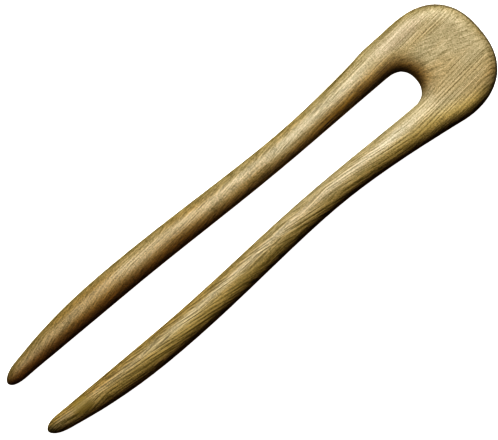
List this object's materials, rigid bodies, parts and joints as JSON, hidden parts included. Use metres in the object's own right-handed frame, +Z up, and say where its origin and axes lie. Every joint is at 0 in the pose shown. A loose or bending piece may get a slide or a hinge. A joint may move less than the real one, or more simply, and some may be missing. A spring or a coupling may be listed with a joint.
{
  "type": "u-shaped hair pin",
  "caption": "Two-pronged wooden hair fork with a broad rounded crown, a U notch and slim prongs that swell and taper to blunt tips, gently bowed from end to end.",
  "frame": {"origin": "on the table under the middle of the pin's box, as it lies with its back bowed up", "axes": "+Y along the pin towards the crown, +X across both prongs, +Z up from the table"},
  "size_m": [0.0358, 0.175, 0.0135],
  "materials": {
    "wood": "satin"
  },
  "bodies": {
    "root": {"hair_fork": "wood"}
  },
  "joints": []
}
